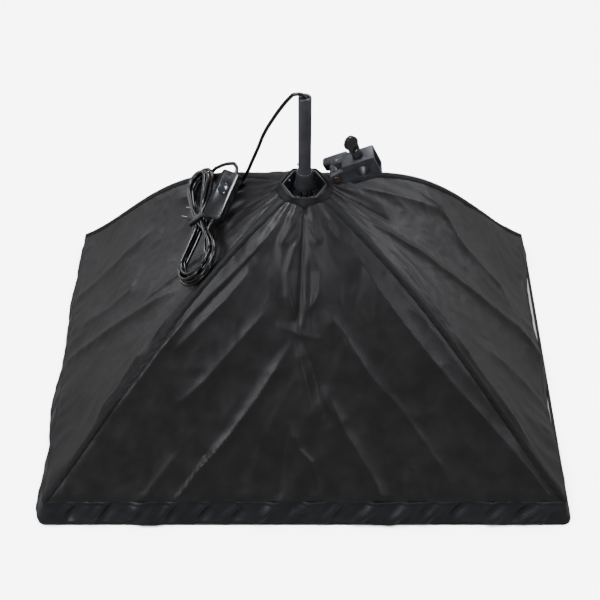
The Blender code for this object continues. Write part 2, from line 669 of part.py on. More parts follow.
def make_hank(finishes, swing):
    turn = facing_turn(HANK_ALONG, HANK_FACING)
    seat = pivot("hank_seat", Vector(HANK_AT) - swing.location, turn, swing)
    length, width = HANK_WAIST
    edge = arc((0.068, 0), 0.025, -125, 125, 12) + [(length, width), (-length, width)]
    edge += arc((-0.058, 0.008), 0.034, 60, 300, 12) + [(-length, -width), (length, -width)]
    hank = meshed(outline("lead_hank", [edge], HANK_THICKNESS))
    place(hank, finishes["lead"], seat)
    pocket = block("plug pocket", *[[s * h + s * 0.0004 for h in PLUG_HALF] for s in (-1, 1)])
    pocket.location = PLUG_AT
    pocket.rotation_euler = (0, 0, PLUG_TURN)
    cut(hank, pocket)

    inner = (width + SLIDE_FIT, HANK_THICKNESS / 2 + SLIDE_FIT)
    outer = [h + 0.0025 for h in inner]
    tie = block("lead_tie", (-0.0030, -outer[0], -outer[1]), (0.0030, outer[0], outer[1]), 0.0012, 2)
    cut(tie, block("tie gap", (-0.01, -inner[0], -inner[1]), (0.01, inner[0], inner[1])))
    place(tie, finishes["plastic"], seat)

    plug = pivot("plug_seat", PLUG_AT, (0, 0, PLUG_TURN), seat)
    body = block("plug_body", [-h for h in PLUG_HALF], PLUG_HALF, 0.0020, 2)
    place(body, finishes["plastic"], plug)
    foot = PLUG_HALF[0] + SLIDE_FIT
    for name, y in (("plug_pin_a", -PIN_SPACING / 2), ("plug_pin_b", PIN_SPACING / 2)):
        pin = block(name, (foot, y - 0.00075, -0.00315), (foot + PIN_LENGTH, y + 0.00075, 0.00315), 0.0005, 1)
        place(pin, finishes["brass"], plug)


def make_lead(finishes, shaft):
    swing = pivot("lead_swing", (0, 0, TUBE_TOP_Z), parent=shaft)
    for name, route in (("lead_feed", FEED_ROUTE), ("lead_loop", LOOP_ROUTE)):
        points = [p - swing.location for p in smooth_route(route, 4 * LEAD_R)]
        place(rod(name, points, LEAD_R), finishes["lead"], swing)
    make_switch(finishes, swing)
    make_hank(finishes, swing)


# ---- front ----------------------------------------------------------------------------------

def rounded_rectangle(half, radius):
    points = []
    for i, (sx, sy) in enumerate(((1, 1), (-1, 1), (-1, -1), (1, -1))):
        centre = (sx * (half[0] - radius), sy * (half[1] - radius))
        points += arc(centre, radius, 90 * i, 90 * i + 90, 4)
    return points


def make_front(finishes):
    inner = [h - BINDING_WIDTH for h in FRONT_HALF]
    binding = outline("front_binding", [rounded_rectangle(FRONT_HALF, 0.012),
                                        rounded_rectangle(inner, 0.004)], BINDING_TOP)
    place(meshed(binding), finishes["fabric"], at=(0, 0, BINDING_TOP / 2))
    cloth = outline("diffuser", [rounded_rectangle([h - SLIDE_FIT for h in inner], 0.004)], CLOTH_TOP)
    place(meshed(cloth), finishes["white cloth"], at=(0, 0, CLOTH_TOP / 2))


def main():
    finishes = {
        "fabric": finish_of("black nylon", "29282b", 0.6),
        "white cloth": finish_of("white cloth", "e6e6e4", 0.8),
        "plastic": finish_of("black plastic", "1c1c1f", 0.4),
        "bracket": finish_of("grey-black plastic", "303236", 0.45),
        "tube": finish_of("painted tube", "3a3b40", 0.35),
        "steel": finish_of("steel", "b8b8ba", 0.3, 1.0),
        "holder": finish_of("lamp holder plastic", "1a1a1c", 0.5),
        "brass": finish_of("brass", "b08d4a", 0.35, 1.0),
        "lead": finish_of("black lead", "141416", 0.3),
        "switch": finish_of("switch plastic", "17181a", 0.35),
        "button": finish_of("button plastic", "3c4a58", 0.2),
    }
    make_front(finishes)
    hub = make_hub(finishes)
    for corner, sx, sy in (("near_left", -1, -1), ("near_right", 1, -1),
                           ("far_left", -1, 1), ("far_right", 1, 1)):
        hinge = make_rib(corner, sx, sy, finishes, hub)
        canopy_quarter(f"canopy_{corner}", sx, sy, finishes["fabric"], hinge)
        hem_quarter(f"hem_{corner}", sx, sy, finishes["fabric"], hinge)
    shaft = make_shaft(finishes, hub)
    make_lead(finishes, shaft)
    make_bracket(finishes, hub)


main()
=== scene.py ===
# Looks of a folding 50 x 70 cm softbox that stands front down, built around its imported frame.
import math

import bpy
import numpy as np
from mathutils import Matrix, Vector, noise


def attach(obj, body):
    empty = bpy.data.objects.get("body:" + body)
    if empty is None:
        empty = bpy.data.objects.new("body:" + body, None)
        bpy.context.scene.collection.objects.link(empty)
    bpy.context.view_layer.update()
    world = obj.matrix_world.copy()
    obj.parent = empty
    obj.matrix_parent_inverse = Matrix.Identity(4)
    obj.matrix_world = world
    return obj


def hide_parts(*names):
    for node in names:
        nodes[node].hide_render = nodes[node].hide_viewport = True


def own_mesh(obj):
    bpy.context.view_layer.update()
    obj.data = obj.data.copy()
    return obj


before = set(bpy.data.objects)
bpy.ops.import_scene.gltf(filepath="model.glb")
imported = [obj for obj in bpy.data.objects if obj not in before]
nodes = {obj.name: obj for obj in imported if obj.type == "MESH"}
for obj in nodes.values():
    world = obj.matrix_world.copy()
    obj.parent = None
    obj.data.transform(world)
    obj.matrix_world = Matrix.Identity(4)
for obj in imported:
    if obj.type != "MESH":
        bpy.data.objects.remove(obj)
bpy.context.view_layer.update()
corners = {"near_left": (-1, -1), "near_right": (1, -1), "far_left": (-1, 1), "far_right": (1, 1)}


def hexToLinear(code):
    channels = [int(code[i:i + 2], 16) / 255 for i in (1, 3, 5)]
    return [c / 12.92 if c <= 0.04045 else ((c + 0.055) / 1.055) ** 2.4 for c in channels] + [1.0]


def addNode(tree, kind, settings=None, inputs=None):
    node = tree.nodes.new(kind)
    for name, value in (settings or {}).items():
        setattr(node, name, value)
    for name, value in (inputs or {}).items():
        if isinstance(value, bpy.types.NodeSocket):
            tree.links.new(value, node.inputs[name])
        else:
            node.inputs[name].default_value = value
    return node


# camera and studio light
cameraView = {"at": (-0.0055, -1.013, 1.351), "tiltDegrees": 40.4, "lens": 70.0}
bpy.ops.object.select_all(action="DESELECT")
bpy.ops.object.camera_add(location=cameraView["at"], rotation=(math.radians(cameraView["tiltDegrees"]), 0, 0))
camera = bpy.context.object
camera.data.lens = cameraView["lens"]
camera.data.sensor_width = 36.0
bpy.context.scene.camera = camera

studio = {"left": ((-1.25, -1.35, 1.15), 0.5, 11.0), "right": ((1.15, -1.45, 1.2), 0.4, 6.0),
          "lowLeft": ((-1.7, 1.3, .50), 0.6, 4.6), "lowRight": ((1.7, 1.2, .50), 0.6, 4.2),
          "key": ((-0.75, -0.15, 1.9), 0.6, 28.0), "fill": ((1.0, 0.1, 1.7), 0.5, 11.0),
          "back": ((0.0, 1.3, 1.5), 0.9, 22.0), "roomStrength": 0.33,
          "tint": (.945, .96, 1.0), "paperSun": 18.0, "paperSunDegrees": 60}
for lampName in ("key", "fill", "back", "left", "right", "lowLeft", "lowRight"):
    lampAt, lampSize, lampPower = studio[lampName]
    bpy.ops.object.light_add(type="AREA", location=lampAt)
    lamp = bpy.context.object
    lamp.name = f"{lampName}_light"
    lamp.data.size = lampSize
    lamp.data.energy = lampPower
    lamp.data.color = studio["tint"]
    lamp.rotation_euler = (Vector((0, 0, 0.15)) - Vector(lampAt)).to_track_quat("-Z", "Y").to_euler()
world = bpy.data.worlds.new("white studio")
world.use_nodes = True
world.node_tree.nodes["Background"].inputs["Color"].default_value = (1, 1, 1, 1)
world.node_tree.nodes["Background"].inputs["Strength"].default_value = studio["roomStrength"]
bpy.context.scene.world = world
print("camera and light are placed")


# materials
def newMaterial(name, code, roughness, metallic=0.0, coat=0.0, sheen=0.0, specular=0.5):
    made = bpy.data.materials.new(name)
    made.use_nodes = True
    tree = made.node_tree
    shader = tree.nodes["Principled BSDF"]
    shader.inputs["Base Color"].default_value = hexToLinear(code)
    shader.inputs["Roughness"].default_value = roughness
    shader.inputs["Metallic"].default_value = metallic
    shader.inputs["Coat Weight"].default_value = coat
    shader.inputs["Sheen Weight"].default_value = sheen
    shader.inputs["Specular IOR Level"].default_value = specular
    return made, tree, shader


def mottle(tree, shader, place, scale, low, high, roughLow, roughHigh, detail=4.0):
    # cloudy colour and gloss, as handling and moulding leave
    cloud = addNode(tree, "ShaderNodeTexNoise", inputs={"Vector": place, "Scale": scale, "Detail": detail})
    tint = addNode(tree, "ShaderNodeValToRGB", inputs={"Fac": cloud.outputs["Fac"]})
    tint.color_ramp.elements[0].position = 0.36
    tint.color_ramp.elements[0].color = hexToLinear(low)
    tint.color_ramp.elements[1].position = 0.66
    tint.color_ramp.elements[1].color = hexToLinear(high)
    gloss = addNode(tree, "ShaderNodeMapRange", inputs={
        "Value": cloud.outputs["Fac"], "From Min": 0.3, "From Max": 0.7, "To Min": roughLow, "To Max": roughHigh})
    tree.links.new(tint.outputs["Color"], shader.inputs["Base Color"])
    tree.links.new(gloss.outputs["Result"], shader.inputs["Roughness"])


def bumpOf(tree, shader, heights, distance, strength=1.0):
    total = heights[0]
    for extra in heights[1:]:
        total = addNode(tree, "ShaderNodeMath", {"operation": "ADD"}, {0: total, 1: extra}).outputs["Value"]
    bump = addNode(tree, "ShaderNodeBump", inputs={"Height": total, "Distance": distance, "Strength": strength})
    tree.links.new(bump.outputs["Normal"], shader.inputs["Normal"])


def scaled(tree, value, amount):
    return addNode(tree, "ShaderNodeMath", {"operation": "MULTIPLY"}, {0: value, 1: amount}).outputs["Value"]


def wovenCloth(name, low, high, roughLow, roughHigh, threadMm, sheen, bumpMm, specular=0.5):
    # plain weave: threads cross over and under, drawn along the cloth's own UV map, one unit a metre
    made, tree, shader = newMaterial(name, low, roughLow, sheen=sheen, specular=specular)
    place = addNode(tree, "ShaderNodeTexCoord")
    mottle(tree, shader, place.outputs["Object"], 38.0, low, high, roughLow, roughHigh)
    split = addNode(tree, "ShaderNodeSeparateXYZ", inputs={"Vector": place.outputs["UV"]})
    waves = []
    for axis in ("X", "Y"):
        turns = scaled(tree, split.outputs[axis], math.pi * 1000 / threadMm)
        waves.append(addNode(tree, "ShaderNodeMath", {"operation": "SINE"}, {0: turns}).outputs["Value"])
    weave = addNode(tree, "ShaderNodeMath", {"operation": "MULTIPLY"}, {0: waves[0], 1: waves[1]})
    crumple = addNode(tree, "ShaderNodeTexNoise", inputs={
        "Vector": place.outputs["Object"], "Scale": 110.0, "Detail": 5.0, "Roughness": 0.55})
    bumpOf(tree, shader, [scaled(tree, weave.outputs["Value"], 0.25), crumple.outputs["Fac"]], bumpMm / 1000)
    return made


def mouldedPlastic(name, low, high, roughLow, roughHigh, grainMm, bumpMm, coat=0.0):
    # injection moulding leaves a fine spark-eroded grain and faint flow marks
    made, tree, shader = newMaterial(name, low, roughLow, coat=coat)
    place = addNode(tree, "ShaderNodeTexCoord")
    mottle(tree, shader, place.outputs["Object"], 90.0, low, high, roughLow, roughHigh)
    grain = addNode(tree, "ShaderNodeTexNoise", inputs={
        "Vector": place.outputs["Object"], "Scale": 1000 / grainMm, "Detail": 2.0})
    bumpOf(tree, shader, [grain.outputs["Fac"]], bumpMm / 1000)
    return made


def drawnMetal(name, low, high, roughLow, roughHigh, stretch):
    # drawing or turning leaves fine scratches along one way
    made, tree, shader = newMaterial(name, low, roughLow, metallic=1.0)
    place = addNode(tree, "ShaderNodeTexCoord")
    along = addNode(tree, "ShaderNodeMapping", inputs={"Vector": place.outputs["Object"], "Scale": stretch})
    mottle(tree, shader, place.outputs["Object"], 160.0, low, high, roughLow, roughHigh)
    scratch = addNode(tree, "ShaderNodeTexNoise", inputs={
        "Vector": along.outputs["Vector"], "Scale": 900.0, "Detail": 3.0})
    bumpOf(tree, shader, [scratch.outputs["Fac"]], 0.00004)
    return made


# polyurethane-coated nylon: soft sheen along the folds, threads drawn at 1.5 mm so that they show
blackNylon = wovenCloth("polyurethane-coated nylon", "#111012", "#1a191b", 0.36, 0.46, 1.5, 0.0, 0.25, 0.5)
# the hem is the same cloth doubled, a little smoother and bluer
hemNylon = wovenCloth("doubled nylon hem", "#101216", "#1a1d22", 0.32, 0.42, 1.5, 0.0, 0.25, 0.5)
# polyester webbing over the ribs and round the hub: matt, with a coarser thread
ribTape = wovenCloth("polyester seam tape", "#0a0a0b", "#111112", 0.5, 0.65, 1.8, 0.0, 0.3, 0.35)
# aluminised lining: a silver film that spreads the lamp's light
silverLining = wovenCloth("aluminised polyester lining", "#b9bcc0", "#d4d6d9", 0.3, 0.42, 1.5, 0.0, 0.5)
silverLining.node_tree.nodes["Principled BSDF"].inputs["Metallic"].default_value = 0.8
# white nylon diffuser: matt and slightly translucent
whiteDiffuser = wovenCloth("white diffusing nylon", "#e9e9e8", "#f4f4f3", 0.75, 0.85, 1.2, 0.1, 0.2)
# ABS mouldings of the hub, knob and wing: dark grey-black with a low gloss
hubPlastic = mouldedPlastic("moulded ABS", "#1d1e21", "#2a2b2f", 0.34, 0.46, 0.6, 0.05)
ringPlastic = mouldedPlastic("grey moulded ABS", "#1c1d20", "#28292c", 0.4, 0.52, 0.6, 0.05)
bracketPlastic = mouldedPlastic("glass-filled nylon moulding", "#24262a", "#323439", 0.36, 0.48, 0.8, 0.08)
wingPlastic = mouldedPlastic("polished ABS", "#141417", "#1d1d20", 0.12, 0.2, 0.9, 0.02, 0.4)
# stove enamel on the steel tube: grey-black, satin
tubePaint = mouldedPlastic("stove enamel on steel", "#33343b", "#3e4047", 0.28, 0.38, 1.4, 0.05)
steel = drawnMetal("zinc-plated steel", "#a9abae", "#c9cbce", 0.22, 0.36, (1.0, 1.0, 0.06))
rivetSteel = drawnMetal("bronzed steel", "#4a3c3a", "#6b5652", 0.3, 0.45, (1.0, 1.0, 1.0))
brass = drawnMetal("nickel-plated brass", "#9a978e", "#bdbab2", 0.25, 0.4, (1.0, 1.0, 12.0))
holderPlastic = mouldedPlastic("phenolic moulding", "#161618", "#202023", 0.3, 0.42, 0.7, 0.04)
# PVC flex: glossy black with a soft waviness of its skin
leadPvc = mouldedPlastic("PVC flex sheath", "#060607", "#0c0c0e", 0.16, 0.24, 3.0, 0.05, 0.1)
switchPlastic = mouldedPlastic("glossy polycarbonate", "#131416", "#1c1d20", 0.16, 0.26, 1.2, 0.03, 0.3)
buttonPlastic = mouldedPlastic("blue-grey polycarbonate", "#1a2027", "#252d35", 0.12, 0.2, 1.2, 0.02, 0.5)
floorPaper = mouldedPlastic("white paper roll", "#f4f4f4", "#f7f7f7", 0.85, 0.95, 6.0, 0.02)
print("materials are mixed")


# tools for making pieces
def objectFrom(name, points, faces, uvs=None):
    mesh = bpy.data.meshes.new(name)
    mesh.from_pydata([tuple(p) for p in points], [], faces)
    if uvs is not None:
        layer = mesh.uv_layers.new(name="cloth")
        for loop in mesh.loops:
            layer.data[loop.index].uv = uvs[loop.vertex_index]
    obj = bpy.data.objects.new(name, mesh)
    bpy.context.scene.collection.objects.link(obj)
    return obj


def choose(obj):
    if bpy.context.object and bpy.context.object.mode != "OBJECT":
        bpy.ops.object.mode_set(mode="OBJECT")
    bpy.ops.object.select_all(action="DESELECT")
    obj.select_set(True)
    bpy.context.view_layer.objects.active = obj


def settle(obj):
    # the place goes into the mesh, and the object back to the origin
    choose(obj)
    bpy.ops.object.transform_apply(location=True, rotation=True, scale=True)


def applyAll(obj):
    choose(obj)
    for step in list(obj.modifiers):
        bpy.ops.object.modifier_apply(modifier=step.name)


def dress(obj, material, body, replaced=()):
    obj.data.materials.clear()
    obj.data.materials.append(material)
    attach(obj, body)
    if replaced:
        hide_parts(*replaced)
    return obj


def refined(nodeName, name, material, body, bevel, segments=2, angle=35, smoothAngle=40):
    # the moulding's own rounded edges, on a merged copy of the solid
    obj = bpy.data.objects.new(name, nodes[nodeName].data.copy())
    bpy.context.scene.collection.objects.link(obj)
    choose(obj)
    bpy.ops.object.mode_set(mode="EDIT")
    bpy.ops.mesh.select_all(action="SELECT")
    bpy.ops.mesh.remove_doubles(threshold=0.00001)
    bpy.ops.mesh.dissolve_limited(angle_limit=math.radians(1.0))
    bpy.ops.object.mode_set(mode="OBJECT")
    if bevel:
        edge = obj.modifiers.new("moulded edge", "BEVEL")
        edge.width = bevel
        edge.segments = segments
        edge.limit_method = "ANGLE"
        edge.angle_limit = math.radians(angle)
    applyAll(obj)
    bpy.ops.object.shade_smooth_by_angle(angle=math.radians(smoothAngle))
    return dress(obj, material, body, [nodeName])


def smoothRoute(route, spacing):
    knots = [Vector(p) for p in route]
    knots = [2 * knots[0] - knots[1], *knots, 2 * knots[-1] - knots[-2]]
    fine = []
    for p0, p1, p2, p3 in zip(knots, knots[1:], knots[2:], knots[3:]):
        for i in range(24):
            t = i / 24
            fine.append(0.5 * (2 * p1 + (p2 - p0) * t + (2 * p0 - 5 * p1 + 4 * p2 - p3) * t * t
                               + (3 * p1 - p0 - 3 * p2 + p3) * t ** 3))
    fine.append(knots[-2])
    run = [0.0]
    for a, b in zip(fine, fine[1:]):
        run.append(run[-1] + (b - a).length)
    count = max(2, round(run[-1] / spacing))
    made, k = [], 0
    for i in range(count + 1):
        want = run[-1] * i / count
        while k < len(run) - 2 and run[k + 1] < want:
            k += 1
        made.append(fine[k].lerp(fine[k + 1], min(1.0, (want - run[k]) / max(run[k + 1] - run[k], 1e-9))))
    return made, run[-1]


# lead, switch and plug
lead = {
    "radius": 0.0023, "leastBend": 0.0098,
    "feed": (
        (.0025, 0, .5060), (.0026, 0, .5096), (.0012, 0, .5140), (-.0030, .0003, .5164), (-.0075, .0010, .5158),
        (-.0125, .0020, .5118), (-.0230, .0045, .4960), (-.0367, .0090, .4690), (-.0475, .0140, .4425),
        (-.0555, .0190, .4150), (-.0632, .0240, .3900), (-.0690, .0298, .3690), (-.0735, .0350, .3545),
        (-.0763, .0366, .3474), (-.0800, .0340, .3408), (-.0851, .0297, .3350), (-.0901, .0262, .3298),
        (-.0959, .0235, .3240), (-.1017, .0207, .3190), (-.1080, .0190, .3158), (-.1150, .0178, .3140),
        (-.1195, .0176, .3112)),
    "loop": (
        (-.0834, .0371, .3578), (-.0815, .0404, .3604), (-.0820, .0450, .3622), (-.0860, .0508, .3610),
        (-.0923, .0572, .3556), (-.1005, .0650, .3464), (-.1085, .0730, .3350), (-.1144, .0796, .3250)),
    "switchAt": (-.1000, .0159, .3400), "switchAlong": (.405, .722, .560),
    "hankAt": (-.1296, .0049, .3051), "hankAlong": (-.062, .998, .028), "hankFacing": (-.700, -.064, .711),
    "upperLobe": (.064, .0), "lowerLobe": (-.055, .008),
}


def facingTurn(along, facing):
    z = Vector(facing).normalized()
    x = Vector(along)
    x = (x - z * x.dot(z)).normalized()
    return Matrix((x, z.cross(x), z)).transposed()


hankTurn = facingTurn(lead["hankAlong"], lead["hankFacing"])
switchLine = Vector(lead["switchAlong"]).normalized()


def onHank(x, y, z):
    return hankTurn @ Vector((x, y, z)) + Vector(lead["hankAt"])


def hankTurnPoints(k):
    # one turn: down the right, round the lower lobe, up the left and over the top
    column, row = k // 3, k % 3
    tier = (row - 1) * 0.0043
    tight = 0.0066 - 0.0044 * column
    upper = (0.0205 - 0.0040 * column) * (1 + 0.08 * math.sin(2.1 * k))
    lower = (0.0290 - 0.0050 * column) * (1 + 0.13 * math.sin(1.7 * k + 1))
    top, foot = lead["upperLobe"], lead["lowerLobe"]
    reach = 0.0065 * math.sin(3.3 * k)
    lean = 0.0045 * math.sin(2.6 * k + 0.8)
    points = [(0.008, -tight, tier), (-0.008, -tight, tier), (-0.024, -0.45 * lower, tier)]
    for i in range(9):
        angle = math.radians(-70 - 27.5 * i)
        points.append((foot[0] + reach + lower * math.cos(angle), foot[1] + lean + lower * math.sin(angle),
                       tier * 0.9))
    points += [(-0.026, 0.50 * lower + 0.003, tier), (-0.008, tight + 0.0006, tier), (0.008, tight, tier)]
    points.append((0.028, 0.55 * upper + 0.001, tier))
    for i in range(7):
        angle = math.radians(100 - 33.3 * i)
        points.append((top[0] - reach + upper * math.cos(angle), top[1] + lean * 0.6 + upper * math.sin(angle),
                       tier * 0.9))
    points.append((0.028, -0.55 * upper, tier))
    return [onHank(*p) for p in points]


turns = [hankTurnPoints(k) for k in range(6)]
route = [Vector(p) for p in lead["feed"]]
route[0] = Vector((.0025, 0, .5080))
for k in range(4):
    route += turns[k]
route = route[:-2]      # the fourth turn leaves the hank at its top, on the right
route += [Vector(p) for p in reversed(lead["loop"])]
route += [Vector(lead["switchAt"]) + switchLine * s for s in (.018, .006, -.006, -.018, -.030, -.0405)]
route += [onHank(-.0255, -.0125, .0008), onHank(-.036, -.0130, .001), onHank(-.048, -.0185, 0)]
route += turns[4][4:] + turns[5] + turns[2][0:14]
route += [onHank(-.008, .0015, -.0046), onHank(.004, -.0010, -.0060), onHank(.0173, .0043, -.0065)]
leadPoints, leadLength = smoothRoute(route, 0.0035)


def easeBends(points, least):
    # where the flex would kink, its neighbours share the bend
    line = np.array(points)
    for _ in range(400):
        a, b, c = line[:-4], line[2:-2], line[4:]
        ab, bc, ca = (np.linalg.norm(v, axis=1) for v in (b - a, c - b, a - c))
        area = np.linalg.norm(np.cross(b - a, c - a), axis=1)
        tight = np.where(ab * bc * ca / np.maximum(2 * area, 1e-12) < least)[0] + 2
        if not len(tight):
            break
        near = np.unique(np.clip(np.concatenate([tight + k for k in (-2, -1, 0, 1, 2)]), 1, len(line) - 2))
        line[near] += 0.35 * ((line[near - 1] + line[near + 1]) / 2 - line[near])
    return [Vector(p) for p in line], float(np.linalg.norm(np.diff(line, axis=0), axis=1).sum())


leadPoints, leadLength = easeBends(leadPoints, lead["leastBend"])
print("lead length", round(leadLength, 3))

flexLine = bpy.data.curves.new("lead_flex", "CURVE")
flexLine.dimensions = "3D"
flexLine.bevel_depth = lead["radius"]
flexLine.bevel_resolution = 3
flexLine.use_fill_caps = True
spline = flexLine.splines.new("POLY")
spline.points.add(len(leadPoints) - 1)
for point, where in zip(spline.points, leadPoints):
    point.co = (*where, 1)
spline.use_smooth = True
flex = bpy.data.objects.new("lead_flex", flexLine)
bpy.context.scene.collection.objects.link(flex)
dress(flex, leadPvc, "lead", ["lead_feed", "lead_loop", "lead_tail", "lead_hank"])

switchCover = refined("switch_cover", "switch_cover_shell", switchPlastic, "lead", 0.0009, 3)
switchBase = refined("switch_base", "switch_base_shell", switchPlastic, "lead", 0.0006, 2)
refined("switch_button", "switch_button_cap", buttonPlastic, "button", 0.0002, 1)
hankTie = refined("lead_tie", "hank_tie", hubPlastic, "lead", 0.0006, 3)
plugBody = refined("plug_body", "plug_moulding", hubPlastic, "lead", 0.0012, 3)
print("lead, switch and plug are made")


# cloth of the canopy
canopy = {
    "frontHalf": (.350, .250), "hemTopHalf": (.337, .237), "hemFootHalf": (.3485, .2485),
    "footZ": .0385, "hemFootZ": .0036, "ridgeStart": (.0345, .3690), "ridgeBow": {-1: .020, 1: .034},
    "midStart": (.0335, .0315), "midBow": .010, "thickness": .0006, "foldDepth": 1.9, "foldKeep": 0.22,
    "wrinkles": (.0032, .0011, .0004), "drawnIn": ((.005, .215, .0085), (-.135, -.012, .0065)), "drawnFrom": 0.72,
    "rows": 150, "longColumns": 84, "shortColumns": 62,
}
panels = {"near": ((0, -1), "near_left", "near_right"), "far": ((0, 1), "far_left", "far_right"),
          "left": ((-1, 0), "near_left", "far_left"), "right": ((1, 0), "near_right", "far_right")}
# folds: (t, a) points, height and width in mm; t runs from hub to hem, a across the panel
folds = {
    "near": [
        ([(0, -.03), (.1, -.03), (.2, -.04), (.3, -.04), (.42, -.06)], -2.6, 5),
        ([(.42, -.07), (.49, -.15), (.61, -.25), (.75, -.35), (.88, -.45), (1.02, -.51)], 3.4, 8),
        ([(.42, -.05), (.49, -.03), (.6, .02), (.73, .05)], 2.8, 7),
        ([(.44, .0), (.52, .05), (.6, .08), (.73, .13)], -1.8, 6),
        ([(.70, -.07), (.8, -.03), (.85, .03), (1.02, .07)], 2.6, 7),
        ([(.71, -.08), (.89, -.1), (1.02, -.1)], -2.0, 6),
        ([(.58, .11), (.75, .2), (.88, .27), (1.02, .32)], 2.6, 8),
        ([(.31, .17), (.41, .3), (.56, .4), (.67, .5), (.87, .58), (.98, .6)], 1.5, 8),
        ([(.3, -.27), (.4, -.42), (.56, -.57), (.68, -.68)], 1.5, 8),
        ([(.05, .74), (.27, .72), (.41, .77), (.57, .83), (.72, .9), (.89, .95), (1.02, .97)], 2.6, 11),
        ([(.10, .0), (.14, .12), (.20, .19), (.27, .14), (.34, .02)], 1.8, 5),
        ([(.08, -.05), (.13, -.17), (.20, -.21), (.28, -.15), (.36, -.07)], 2.0, 5),
        ([(.03, .02), (.07, .16), (.12, .30)], 1.3, 5), ([(.02, -.1), (.06, -.28), (.13, -.40)], 1.3, 5),
        ([(.16, .08), (.27, .06), (.40, .05)], -1.2, 5), ([(.37, -.23), (.40, -.05), (.42, .14)], 1.4, 6),
        ([(.81, -.56), (.92, -.6), (1.02, -.64)], 1.8, 6), ([(.78, -.42), (.9, -.47), (1.02, -.53)], -1.4, 6),
        ([(.02, -.45), (.2, -.76), (.36, -.90), (.49, -.95), (.69, -.97)], 2.6, 8),
        ([(.12, -.62), (.27, -.78), (.42, -.89)], -2.0, 7), ([(.18, -.58), (.32, -.72), (.5, -.86)], 1.6, 7),
        ([(.84, .47), (.92, .43), (1.02, .40)], 1.4, 6), ([(.88, .53), (1.02, .49)], -1.2, 6),
        ([(.3, .17), (.42, .27), (.6, .44)], .9, 7), ([(.52, -.02), (.66, -.14), (.80, -.20), (.95, -.22)], 1.0, 9)],
    "far": [
        ([(0, .03), (.15, .03), (.35, .05)], -2.4, 5), ([(.35, .05), (.5, .16), (.75, .30), (1.02, .42)], 2.6, 8),
        ([(.35, .04), (.55, -.06), (.8, -.16), (1.02, -.22)], 2.4, 8), ([(.6, .5), (.8, .62), (1.02, .70)], 1.6, 8),
        ([(.1, -.6), (.3, -.78), (.55, -.9)], 2.0, 8), ([(.08, .7), (.3, .76), (.6, .86)], 2.0, 9),
        ([(.6, -.55), (.8, -.5), (1.02, -.52)], 1.5, 7)],
    "left": [
        ([(.36, -.5), (.42, -.46), (.68, -.18), (1.02, -.06)], 2.6, 9), ([(.5, -.86), (.6, -.92), (.75, -.95)], 2.0, 6),
        ([(.01, -.92), (.2, -.4), (.44, -.27), (.6, -.2)], 2.0, 8),
        ([(.58, .3), (.64, .08), (.8, .1), (.96, .15)], 1.4, 9),
        ([(.2, -.86), (.34, -.9), (.5, -.93)], 2.0, 6), ([(.05, .3), (.2, .55), (.42, .8)], 1.6, 8),
        ([(.5, .6), (.75, .5), (1.02, .44)], 1.5, 9), ([(.0, .0), (.12, .02), (.3, .06)], -1.8, 5)],
    "right": [
        ([(.03, -.8), (.13, -.43), (.37, -.07), (.65, .02), (.86, .05), (1.02, -.05)], 3.0, 8),
        ([(.3, .86), (.45, .74), (.56, .45), (.77, .33), (.87, .13), (.95, -.03)], 2.4, 8),
        ([(.45, -.86), (.55, -.9), (.71, -.91), (.84, -.94)], 2.0, 6), ([(.04, .4), (.26, .63), (.47, .7)], 1.6, 8),
        ([(.2, -.66), (.38, -.84), (.6, -.83)], 1.8, 8), ([(.0, .0), (.1, .05), (.25, .12)], -1.8, 5),
        ([(.6, -.5), (.8, -.42), (1.02, -.38)], 1.4, 8)],
}


def bend(t):
    return np.sin(np.pi * np.clip(t, 0, 1) ** 0.7).clip(0) ** 1.5


def bowedLine(start, end, out, bow, t):
    chord = end - start
    normal = out * -chord[2] + np.array((0, 0, chord @ out))
    normal /= np.linalg.norm(normal)
    return start + chord * t[..., None] + normal * (bow * bend(t))[..., None]


def ridgeLine(corner, t):
    sx, sy = corners[corner]
    out = np.array((canopy["frontHalf"][0] * sx, canopy["frontHalf"][1] * sy, 0))
    out /= np.linalg.norm(out)
    start = out * canopy["ridgeStart"][0] + np.array((0, 0, canopy["ridgeStart"][1]))
    end = np.array((canopy["hemTopHalf"][0] * sx, canopy["hemTopHalf"][1] * sy, canopy["footZ"]))
    return bowedLine(start, end, out, canopy["ridgeBow"][sy], t)


def midLine(side, t):
    out = np.array((side[0], side[1], 0.0))
    wide = 0 if side[0] else 1
    start = out * canopy["midStart"][wide] + np.array((0, 0, canopy["ridgeStart"][1]))
    end = out * canopy["hemTopHalf"][wide] + np.array((0, 0, canopy["footZ"]))
    return bowedLine(start, end, out, canopy["midBow"], t)


def panelBase(panel, t, a):
    side, low, high = panels[panel]
    left, right, middle = ridgeLine(low, t), ridgeLine(high, t), midLine(side, t)
    slack = 0.3
    share = (np.sqrt(a * a + slack * slack) - slack) / (math.sqrt(1 + slack * slack) - slack)
    return middle + (right - left) / 2 * a[..., None] + ((right + left) / 2 - middle) * share[..., None]


def panelSize(panel, t):
    side, low, high = panels[panel]
    width = np.linalg.norm(ridgeLine(high, t) - ridgeLine(low, t), axis=-1) / 2
    ends = midLine(side, np.array((0.0, 1.0)))
    return width, float(np.linalg.norm(ends[1] - ends[0]))


def unit(v):
    return v / np.maximum(np.linalg.norm(v, axis=-1, keepdims=True), 1e-12)


